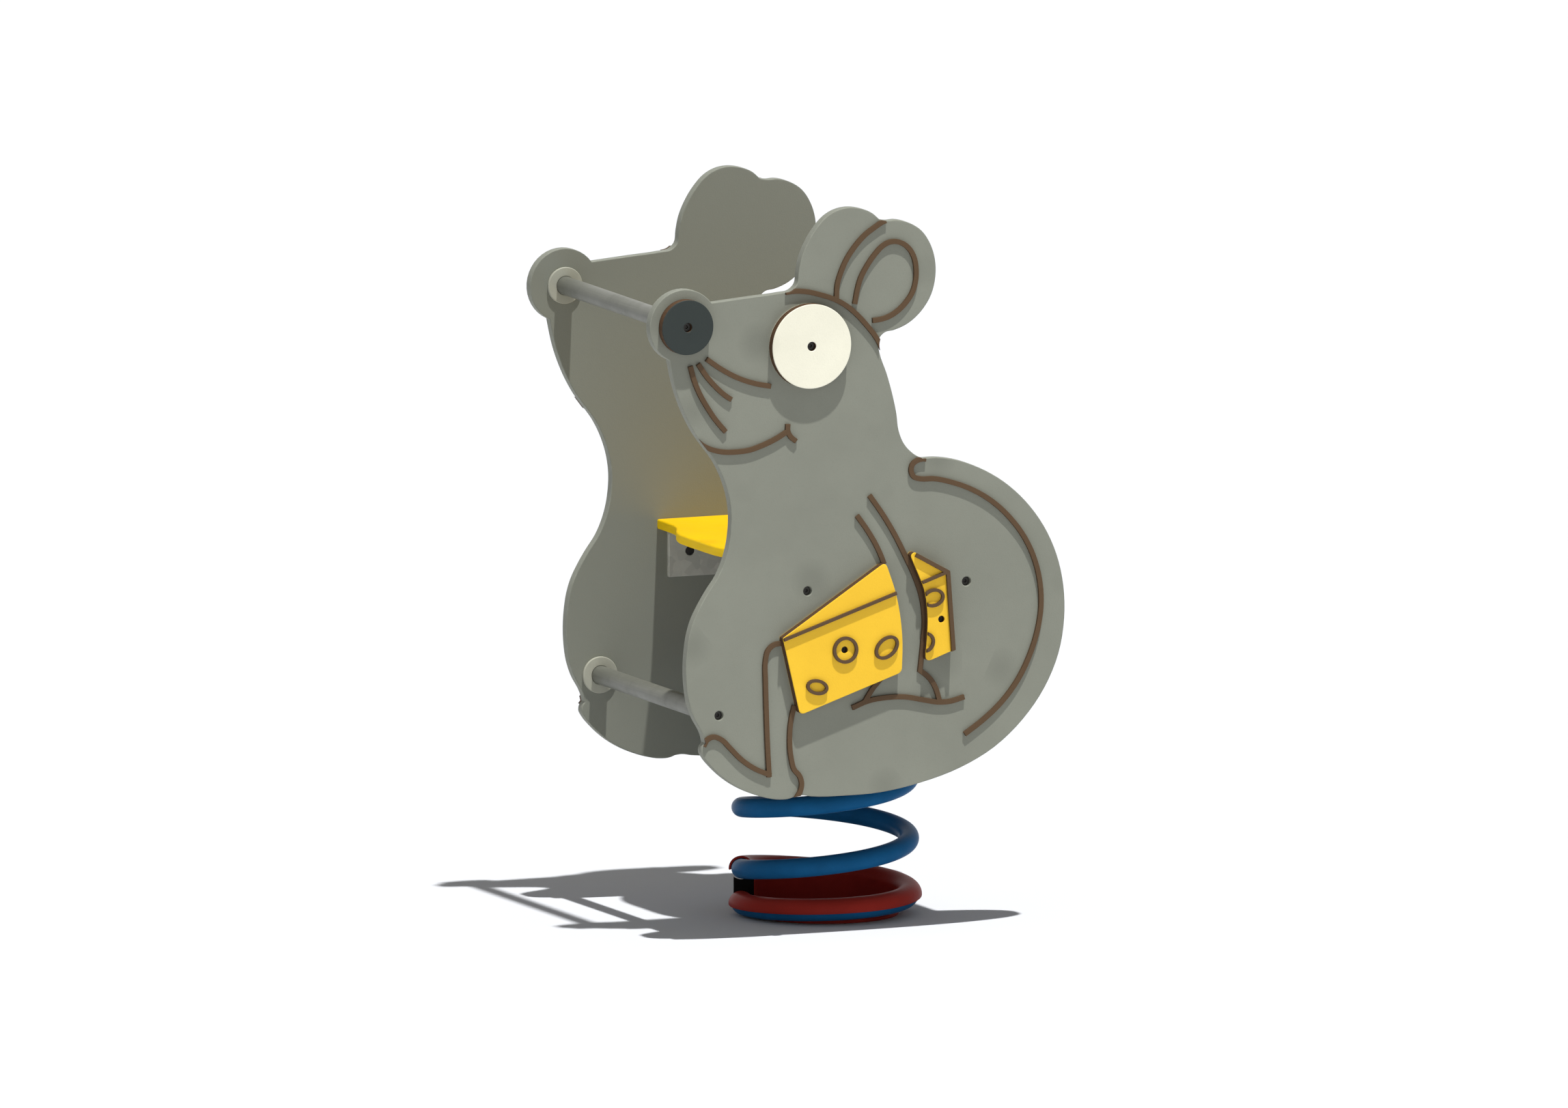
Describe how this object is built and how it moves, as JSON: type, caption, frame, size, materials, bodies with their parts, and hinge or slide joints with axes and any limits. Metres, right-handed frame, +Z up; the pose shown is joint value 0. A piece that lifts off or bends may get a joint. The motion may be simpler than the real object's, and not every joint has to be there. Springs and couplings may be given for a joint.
{
  "type": "spring rider",
  "caption": "Playground spring rider: mouse-shaped sheet panels with seat, handlebar and footrest between them, rocking on a clamped coil spring.",
  "frame": {"origin": "centre of the ground plate's underside, on the spring's axis", "axes": "+Z up along the spring, -X the way the rider faces, -Y the rider's left"},
  "size_m": [0.528, 0.402, 0.8637],
  "materials": {
    "red_painted_steel": "powder coat, satin",
    "black_painted_steel": "powder coat, satin",
    "pale_grey_moulding": "moulded, matt",
    "blue_painted_steel": "powder coat, satin",
    "fastener_steel": "black oxide",
    "galvanised_steel": "hot-dip galvanised",
    "tube_steel": "brushed stainless",
    "yellow_seat_sheet": "orange-peel sheet",
    "grey_sheet": "orange-peel sheet",
    "dark_grey_sheet": "orange-peel sheet over a brown core",
    "cream_sheet": "orange-peel sheet over a brown core",
    "yellow_cheese_sheet": "orange-peel sheet over a brown core",
    "brown_strip": "plain matt strip"
  },
  "bodies": {
    "base": {"base_plate": "red_painted_steel", "lower_spring_cup": "red_painted_steel", "lower_spring_stop": "black_painted_steel"},
    "spring": {"spring": "blue_painted_steel"},
    "rider": {"upper_spring_cup": "red_painted_steel", "top_plate": "red_painted_steel", "upper_spring_stop": "black_painted_steel", "top_plate_bolts": "fastener_steel", "flange_inserts": "fastener_steel", "web_inserts": "fastener_steel", "seat_screws": "fastener_steel", "left_bracket_bolts": "fastener_steel", "right_bracket_bolts": "fastener_steel", "left_handlebar_bolt": "fastener_steel", "right_handlebar_bolt": "fastener_steel", "left_footrest_bolt": "fastener_steel", "right_footrest_bolt": "fastener_steel", "left_eye_screw": "fastener_steel", "right_eye_screw": "fastener_steel", "left_cheese_screws": "fastener_steel", "right_cheese_screws": "fastener_steel", "seat_bracket": "galvanised_steel", "handlebar_tube": "tube_steel", "handlebar_plugs": "tube_steel", "footrest_tube": "tube_steel", "footrest_plugs": "tube_steel", "left_handlebar_collar": "pale_grey_moulding", "right_handlebar_collar": "pale_grey_moulding", "left_footrest_collar": "pale_grey_moulding", "right_footrest_collar": "pale_grey_moulding", "seat_board": "yellow_seat_sheet", "left_panel": "grey_sheet", "right_panel": "grey_sheet", "left_nose_disc": "dark_grey_sheet", "right_nose_disc": "dark_grey_sheet", "left_eye_disc": "cream_sheet", "right_eye_disc": "cream_sheet", "left_cheese_front": "yellow_cheese_sheet", "right_cheese_front": "yellow_cheese_sheet", "left_cheese_rear": "yellow_cheese_sheet", "right_cheese_rear": "yellow_cheese_sheet", "left_brow_strip": "brown_strip", "right_brow_strip": "brown_strip", "left_ear_strip": "brown_strip", "right_ear_strip": "brown_strip", "left_whisker_strips": "brown_strip", "right_whisker_strips": "brown_strip", "left_mouth_strip": "brown_strip", "right_mouth_strip": "brown_strip", "left_tail_strip": "brown_strip", "right_tail_strip": "brown_strip", "left_arm_strips": "brown_strip", "right_arm_strips": "brown_strip", "left_leg_strips": "brown_strip", "right_leg_strips": "brown_strip", "left_cheese_front_lines": "brown_strip", "right_cheese_front_lines": "brown_strip", "left_cheese_rear_lines": "brown_strip", "right_cheese_rear_lines": "brown_strip"}
  },
  "joints": [
    {"name": "rock_sideways", "type": "hinge", "parent": "base", "child": "spring", "pos_m": [0, 0, 0.134], "axis": [1, 0, 0], "range_deg": [-15, 15], "stiffness_Nm_per_rad": 730, "deforming": ["spring"]},
    {"name": "rock_fore_aft", "type": "hinge", "parent": "spring", "child": "rider", "pos_m": [0, 0, 0.299], "axis": [0, 1, 0], "range_deg": [-20, 20], "stiffness_Nm_per_rad": 730, "deforming": ["spring"]}
  ]
}
